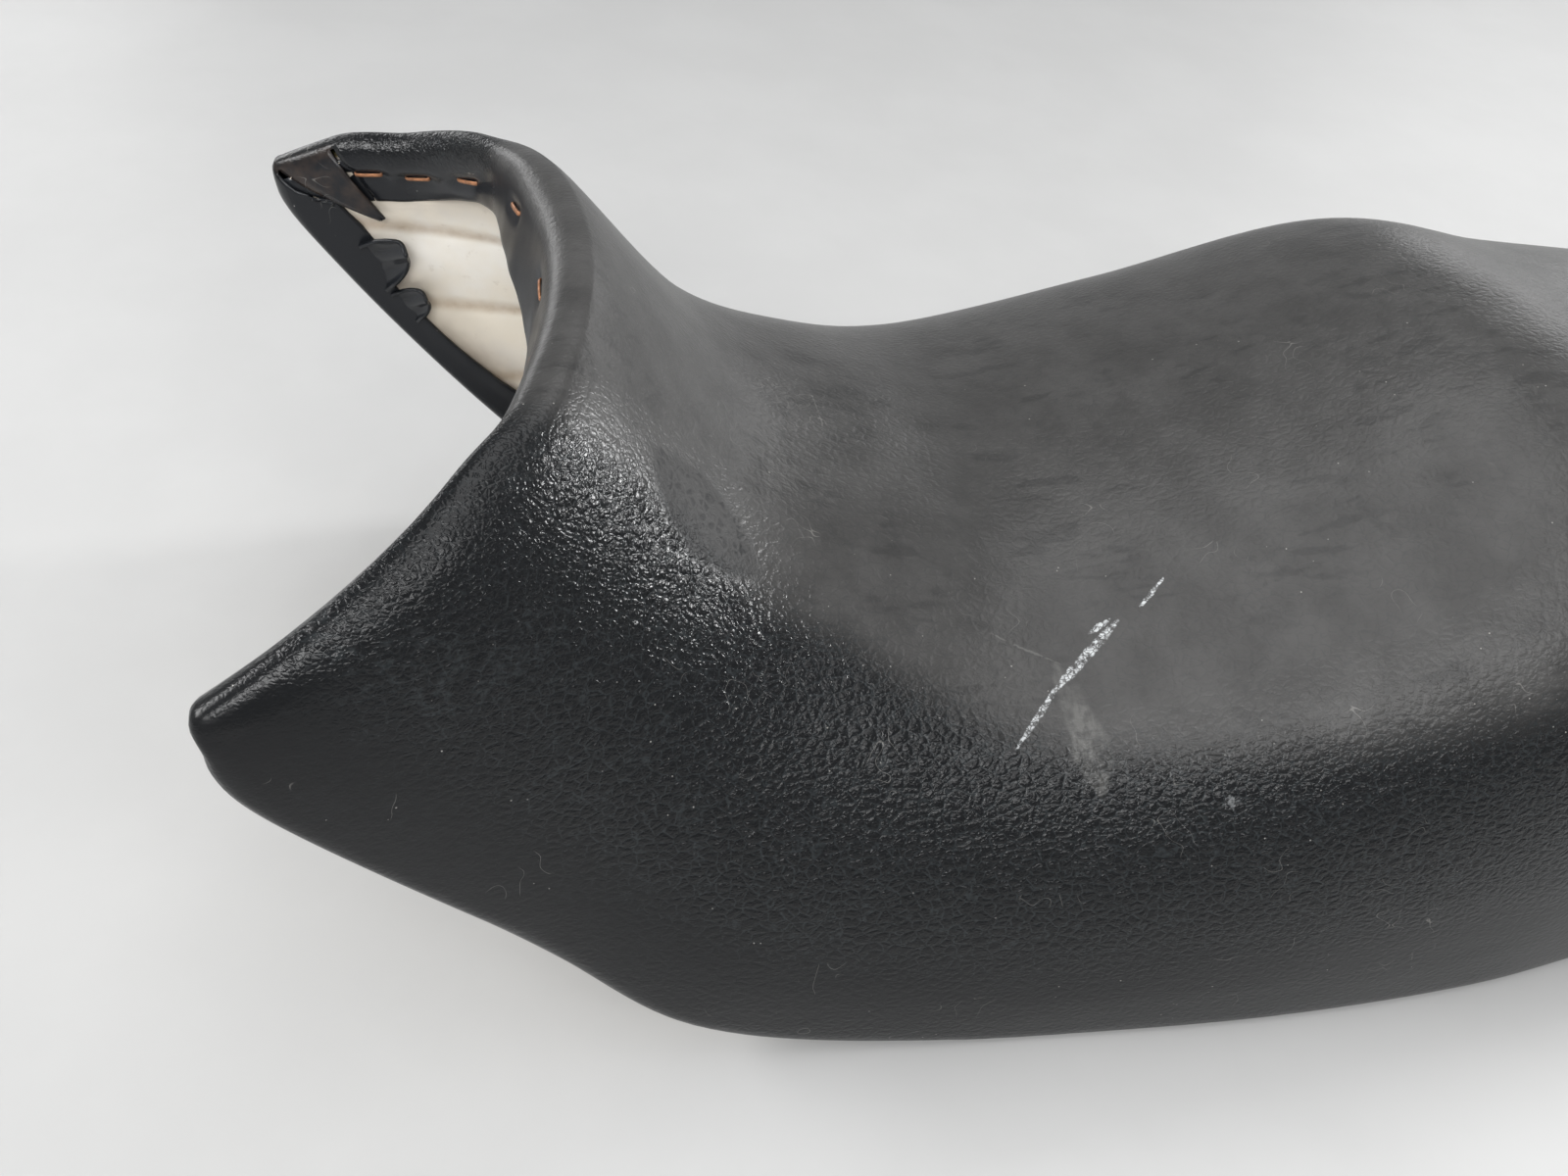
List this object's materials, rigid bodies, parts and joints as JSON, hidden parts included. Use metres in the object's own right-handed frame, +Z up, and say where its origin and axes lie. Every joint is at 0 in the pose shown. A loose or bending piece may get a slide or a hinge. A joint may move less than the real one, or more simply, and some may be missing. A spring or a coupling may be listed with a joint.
{
  "type": "motorcycle seat",
  "caption": "Motorcycle seat for rider and passenger: stapled vinyl cover over foam on a plastic pan, with a forked nose, front tongue, latch striker and rubber bumpers.",
  "frame": {"origin": "centre of the underside of the seat's bounding box, on the table that the rim rests on", "axes": "+X to the rider's left, +Y towards the tail, +Z up; the rider looks towards -Y, where the nose wings point"},
  "size_m": [0.268, 0.71, 0.1859],
  "materials": {
    "vinyl": "grained black vinyl, semi-matt",
    "foam": "moulded polyurethane foam",
    "pan_plastic": "natural polypropylene, satin",
    "black_steel": "black coated steel",
    "bare_rod": "zinc plated rod",
    "zinc_steel": "zinc plated",
    "staple_wire": "rusty copper-coloured wire",
    "rubber": "black rubber"
  },
  "bodies": {
    "root": {"seat_cover": "vinyl", "foam_cushion": "foam", "seat_pan": "pan_plastic", "nose_staples": "staple_wire", "left_staples": "staple_wire", "right_staples": "staple_wire", "tail_staples": "staple_wire", "front_tongue": "black_steel", "tongue_bolts": "zinc_steel", "tongue_washers": "zinc_steel", "tongue_tee_nuts": "zinc_steel", "latch_plate": "black_steel", "latch_striker": "bare_rod", "latch_bolts": "zinc_steel", "latch_washers": "zinc_steel", "latch_tee_nuts": "zinc_steel", "front_left_bumper": "rubber", "front_right_bumper": "rubber", "middle_left_bumper": "rubber", "middle_right_bumper": "rubber", "rear_left_bumper": "rubber", "rear_right_bumper": "rubber"}
  },
  "joints": []
}
